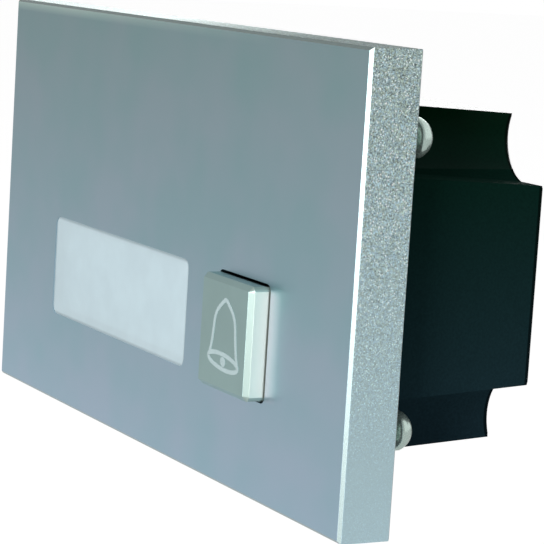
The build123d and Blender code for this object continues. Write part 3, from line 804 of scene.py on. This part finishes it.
def hex_nut(screws, thickness, finish):
    """Nut along +Y with chamfered corners."""
    flats, bore = screws.nut_flats, screws.nut_bore

    def corners(most):
        def reach(angle):
            return min(most, flats / 2 / math.cos((angle + math.pi / 6) % (math.pi / 3) - math.pi / 6))

        return reach

    end = [(0.485 * flats, 0), (corners(0.557 * flats), 0.04 * flats), (corners(0.58 * flats), 0.09 * flats)]
    far_end = [(radius, thickness - level) for radius, level in reversed(end)]
    bm = bmesh.new()
    turned(bm, [(bore, 0)] + end + far_end + [(bore, thickness)], 48)
    return mesh_object("nut", bm, finish, smooth=30.0)


def slotted_screw(radius, low, high, slot, finish):
    """Clamp screw along +Y with a bevelled rim and a straight slot."""
    bevel, reach = 0.12 * radius, 1.1 * radius
    rim = [(radius, low), (radius, high - bevel), (radius - bevel, high)]
    bm = bmesh.new()
    turned(bm, [(0, low)] + rim + [(0.3 * radius, high), (0, high)], 40)
    screw = mesh_object("screw", bm, finish, smooth=40.0)
    cutter = bmesh.new()
    box_mesh(cutter, (-reach, high - slot, -slot / 2), (reach, high + slot, slot / 2))
    carve(screw, mesh_object("slot_cutter", cutter, finish))
    soften(screw.data, 40.0)
    return screw


def square_pin(width, low, high, finish):
    """Square pin along +Y with a tapered tip."""
    bm = bmesh.new()
    shoulder = high - 1.2 * width
    for start, end, narrowing in ((low, shoulder, 1.0), (shoulder, high, 0.45)):
        made = box_mesh(bm, (-width / 2, start, -width / 2), (width / 2, end, width / 2))
        for vert in made:
            if vert.co.y > end - 0.01 * MM:
                vert.co.x *= narrowing
                vert.co.z *= narrowing
    bmesh.ops.remove_doubles(bm, verts=bm.verts, dist=WELD)
    inner = [face for face in bm.faces if all(abs(vert.co.y - shoulder) < WELD for vert in face.verts)]
    bmesh.ops.delete(bm, geom=inner, context="FACES_ONLY")
    return mesh_object("pin", bm, finish)


# Operators


class MODULE_OT_plate(bpy.types.Operator):
    """Finishes the front plate in satin and blasted aluminium"""

    bl_idname = "call_module.plate"
    bl_label = "Front plate"

    def execute(self, context):
        plate = settings(context, "plate")
        dress(satin_aluminium(plate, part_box("front_plate"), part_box("button_cap")), "front_plate")
        return {"FINISHED"}


class MODULE_OT_window(bpy.types.Operator):
    """Finishes the name window, its blank card and the light guide behind it"""

    bl_idname = "call_module.window"
    bl_label = "Name window"

    def execute(self, context):
        window = settings(context, "window")
        dress(clear_cover(window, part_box("name_window")), "name_window")
        self.lay_bead(window)
        dress(paper(window.card), "name_card")
        dress(moulded("guide_opal", window.guide, window.card, 0.5 * MM, roughness=0.35), "light_guide")
        return {"FINISHED"}

    @staticmethod
    def lay_bead(window):
        low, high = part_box("name_window")
        middle, half = (low + high) / 2, (high - low) / 2
        radius = window.corner - window.gap / 2
        across, upward = (side - window.border - window.gap / 2 - radius for side in (half.x, half.z))
        points = []
        for quarter, (side, end) in enumerate(((1, 1), (-1, 1), (-1, -1), (1, -1))):
            for step in range(7):
                turn = math.radians(90 * quarter + 15 * step)
                points.append((middle.x + side * across + radius * math.cos(turn),
                               middle.z + end * upward + radius * math.sin(turn)))
        bm = bmesh.new()
        stroke(bm, points, True, window.gap, low.y, low.y + 3 * window.inset)
        finish = moulded("bead_grey", window.bead, shade(window.bead, 0.94), 0.3 * MM)
        stands_for(mesh_object("window_bead", bm, finish, smooth=40.0), "module", "window_clear")


class MODULE_OT_button(bpy.types.Operator):
    """Finishes the call button, the soft ring in its gap and the switch behind it"""

    bl_idname = "call_module.button"
    bl_label = "Call button"

    def execute(self, context):
        button = settings(context, "button")
        grain = 0.2 * MM
        dress(button_finish(button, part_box("button_cap"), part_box("front_plate")[0].y), "button_cap")
        rubber = moulded("seal_rubber", button.seal_and_gap_shade, screen(22, 26, 26), grain, roughness=0.7, specular=0.2)
        dress(rubber, "button_seal")
        dress(moulded("switch_black", screen(24, 26, 26), screen(34, 36, 36), grain), "switch_body")
        pale = moulded("plunger_plastic", screen(222, 220, 210), screen(232, 230, 222), grain)
        dress(pale, "switch_plunger")
        return {"FINISHED"}


class MODULE_OT_sign(bpy.types.Operator):
    """Draws the bell sign on the call button's front"""

    bl_idname = "call_module.sign"
    bl_label = "Bell sign"

    def execute(self, context):
        button = settings(context, "button")
        low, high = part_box("button_cap")
        mouth_x = (low.x + high.x) / 2 + button.sign_shift
        mouth_z = (low.z + high.z) / 2 - button.mouth_drop
        finish = moulded("sign_lines", button.sign, shade(button.sign, 0.93), 0.3 * MM, roughness=0.45)
        bm = bmesh.new()
        for layer, (points, closed) in enumerate(bell_outline(button)):
            # Each line stands a trace higher, so that no two fronts share a level
            front = low.y - button.line_rise - layer * 0.002 * MM
            stroke(bm, points, closed, button.line_width, front, low.y + 0.05 * MM)
        bmesh.ops.translate(bm, verts=bm.verts, vec=(mouth_x, 0, mouth_z))
        stands_for(mesh_object("bell_sign", bm, finish), "button", "button_metal")
        return {"FINISHED"}


class MODULE_OT_housing(bpy.types.Operator):
    """Finishes the rear housing, its flange and gasket, and the carrier inside"""

    bl_idname = "call_module.housing"
    bl_label = "Rear housing"

    def execute(self, context):
        housing = settings(context, "housing")
        shell = housing_plastic(housing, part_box("rear_housing"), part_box("back_cover")[1].y - housing.well_lip)
        dress(shell, "rear_housing", "back_cover", "mounting_flange")
        foam = moulded("gasket_foam", screen(16, 17, 17), screen(30, 31, 31), 0.5 * MM, roughness=0.9,
                       specular=0.1)
        dress(foam, "housing_gasket")
        plastic = moulded("carrier_plastic", screen(34, 36, 36), screen(44, 46, 46), 0.3 * MM, roughness=0.6,
                          specular=0.3)
        dress(plastic, "front_carrier")
        return {"FINISHED"}


class MODULE_OT_screws(bpy.types.Operator):
    """Makes the four mounting screws and nuts in the housing's corner notches"""

    bl_idname = "call_module.screws"
    bl_label = "Mounting screws"

    def execute(self, context):
        screws = settings(context, "screws")
        chrome = plated("screw_chrome", screws.chrome, roughness=0.26, metallic=0.6)
        zinc = plated("nut_steel", screws.zinc, roughness=0.32)
        low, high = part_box("mounting_screws")
        radius = screws.head_radius
        first = Vector((low.x + radius, 0, low.z + radius))
        pitches = high.x - low.x - 2 * radius, high.z - low.z - 2 * radius
        screw = domed_screw(screws, low.y, high.y, chrome)
        made = in_rows("chromed_screws", screw, chrome, first, 2, 2, *pitches)
        stands_for(made, "module", "screw_chrome", "mounting_screws")
        low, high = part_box("mounting_nuts")
        first.y = low.y
        nut = hex_nut(screws, high.y - low.y, zinc)
        made = in_rows("zinc_nuts", nut, zinc, first, 2, 2, *pitches)
        stands_for(made, "module", "nut_steel", "mounting_nuts")
        dress(zinc, "board_screws")
        return {"FINISHED"}


class MODULE_OT_board(bpy.types.Operator):
    """Finishes the circuit board, its components, the terminals and the plug"""

    bl_idname = "call_module.board"
    bl_label = "Circuit board"

    def execute(self, context):
        board = settings(context, "board")
        dress(circuit_resist(board), "circuit_board")
        epoxy = moulded("component_black", screen(26, 27, 28), screen(38, 39, 40), 0.2 * MM, roughness=0.6)
        dress(epoxy, "bridge_rectifier", "driver_chip", "chip_resistors", "bus_header")
        sleeve = moulded("capacitor_sleeve", screen(30, 34, 60), screen(38, 44, 74), 0.4 * MM, roughness=0.3)
        dress(sleeve, "smoothing_capacitor")
        green = moulded("terminal_green", board.terminal, shade(board.terminal, 0.88), 0.3 * MM)
        dress(green, "terminal_block")
        lamp = moulded("led_yellow_white", screen(246, 238, 190), screen(250, 246, 214), 0.3 * MM,
                       roughness=0.3)
        dress(lamp, "name_led_1", "name_led_2", "name_led_3")
        self.fit_clamps(board)
        self.fit_pins(board)
        return {"FINISHED"}

    @staticmethod
    def fit_clamps(board):
        zinc = bpy.data.materials["nut_steel"]
        low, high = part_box("terminal_screws")
        radius = (high.z - low.z) / 2
        pitch = (high.x - low.x - 2 * radius) / (board.terminal_count - 1)
        first = (low.x + radius, 0, (low.z + high.z) / 2)
        screw = slotted_screw(radius, low.y, high.y, board.slot_width, zinc)
        made = in_rows("clamp_screws", screw, zinc, first, board.terminal_count, 1, pitch, 0.0)
        stands_for(made, "module", "nut_steel", "terminal_screws")

    @staticmethod
    def fit_pins(board):
        gold = plated("pin_gold", screen(226, 190, 110), roughness=0.25)
        low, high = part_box("bus_header")
        pitch, columns = board.pin_pitch, board.pin_columns
        first = ((low.x + high.x) / 2 - (columns - 1) * pitch / 2, 0, -pitch / 2)
        pin = square_pin(board.pin_width, low.y + pitch, high.y - pitch / 2 + 0.02 * MM, gold)
        made = in_rows("plug_pins", pin, gold, first, columns, 2, pitch, pitch)
        stands_for(made, "module", "nut_steel")


class MODULE_OT_stage(bpy.types.Operator):
    """Sets the white floor, the soft light and the camera"""

    bl_idname = "call_module.stage"
    bl_label = "Stage"

    def execute(self, context):
        stage = settings(context, "stage")
        context.scene.view_settings.view_transform = "Standard"
        self.light_world(context.scene, stage)
        self.lay_floor(stage)
        self.hang_lamp(stage)
        self.place_camera(context.scene, stage)
        return {"FINISHED"}

    @staticmethod
    def light_world(scene, stage):
        world = bpy.data.worlds.new("white_studio")
        world.use_nodes = True
        made = Nodes(world.node_tree)
        toward = made.node("ShaderNodeTexCoord")
        # White behind the module, and a dimmer room in front of it
        apart = made.node("ShaderNodeSeparateXYZ", Vector=toward)
        room = made.ramp(apart.outputs["Y"], 0.0, stage.room_edge, stage.room_level)
        # Brightest low behind the module's left end
        nearness = made.nodes.new("ShaderNodeVectorMath")
        nearness.operation = "DOT_PRODUCT"
        made.put(nearness.inputs[0], toward)
        made.put(nearness.inputs[1], stage.glow_toward)
        glow = made.ramp(nearness.outputs["Value"], stage.glow_edge, stage.glow_core, 0.0, stage.glow)
        background = made.nodes["Background"]
        made.put(background.inputs["Color"], WHITE)
        level = made.by_ray(1.0, made.math("ADD", room, glow), stage.sky_level)
        made.put(background.inputs["Strength"], level)
        scene.world = world

    @staticmethod
    def lay_floor(stage):
        made = Finish("white_floor", Roughness=0.9, Specular_IOR_Level=0.0)
        made.set(Base_Color=made.mix(made.noise(0.05), (0.84, 0.84, 0.84), (0.86, 0.86, 0.86)))
        level = made.by_ray(stage.floor_seen, stage.floor_mirrored, 0.0)
        made.set(Emission_Color=WHITE, Emission_Strength=level)
        bm = bmesh.new()
        bmesh.ops.create_grid(bm, x_segments=1, y_segments=1, size=4.0)
        bmesh.ops.translate(bm, verts=bm.verts, vec=(0, 0, cad_box[0][2] - stage.floor_drop))
        mesh_object("floor", bm, made.material, smooth=None)

    @staticmethod
    def hang_lamp(stage):
        data = bpy.data.lights.new("key_light", "AREA")
        data.energy, data.size = stage.key_power, stage.key_size
        lamp = placed("key_light", data)
        lamp.location = stage.key_place
        lamp.rotation_euler = (-Vector(stage.key_place)).to_track_quat("-Z", "Y").to_euler()

    @staticmethod
    def place_camera(scene, stage):
        turn, dip, roll = stage.camera_turn, stage.camera_dip, stage.camera_roll
        ahead = Vector((-math.sin(turn) * math.cos(dip), math.cos(turn) * math.cos(dip), -math.sin(dip)))
        right = Vector((math.cos(turn), math.sin(turn), 0))
        up = right.cross(ahead)
        side = math.cos(roll) * right + math.sin(roll) * up
        upward = -math.sin(roll) * right + math.cos(roll) * up
        data = bpy.data.cameras.new("camera")
        data.lens, data.sensor_width = stage.lens, 36.0
        data.clip_start, data.clip_end = 0.01, 20.0
        data.shift_x, data.shift_y = stage.shift_x, stage.shift_y
        camera = placed("camera", data)
        axes = Matrix((side, upward, -ahead)).transposed().to_4x4()
        camera.matrix_world = Matrix.Translation(stage.camera_place) @ axes
        scene.camera = camera


OPERATORS = (
    MODULE_OT_plate,
    MODULE_OT_window,
    MODULE_OT_button,
    MODULE_OT_sign,
    MODULE_OT_housing,
    MODULE_OT_screws,
    MODULE_OT_board,
    MODULE_OT_stage,
)


class MODULE_PT_pieces(bpy.types.Panel):
    """Lists the pieces of the call module and their settings"""

    bl_idname = "MODULE_PT_pieces"
    bl_label = "Call module"
    bl_space_type = "VIEW_3D"
    bl_region_type = "UI"
    bl_category = "Call module"

    def draw(self, context):
        for operator in OPERATORS:
            self.layout.operator(operator.bl_idname)
        for group, kind in SETTINGS.items():
            box = self.layout.box()
            box.label(text=group.capitalize())
            for name in kind.__annotations__:
                box.prop(settings(context, group), name)


def register():
    for kind in (*SETTINGS.values(), *OPERATORS, MODULE_PT_pieces):
        bpy.utils.register_class(kind)
    for group, kind in SETTINGS.items():
        setattr(bpy.types.Scene, f"call_module_{group}", PointerProperty(type=kind))


def unregister():
    for group in SETTINGS:
        delattr(bpy.types.Scene, f"call_module_{group}")
    for kind in reversed((*SETTINGS.values(), *OPERATORS, MODULE_PT_pieces)):
        bpy.utils.unregister_class(kind)


def main():
    register()
    bpy.ops.call_module.stage()
    bpy.ops.call_module.plate()
    bpy.ops.call_module.window()
    bpy.ops.call_module.button()
    bpy.ops.call_module.sign()
    bpy.ops.call_module.housing()
    bpy.ops.call_module.screws()
    bpy.ops.call_module.board()


if __name__ == "__main__":
    main()
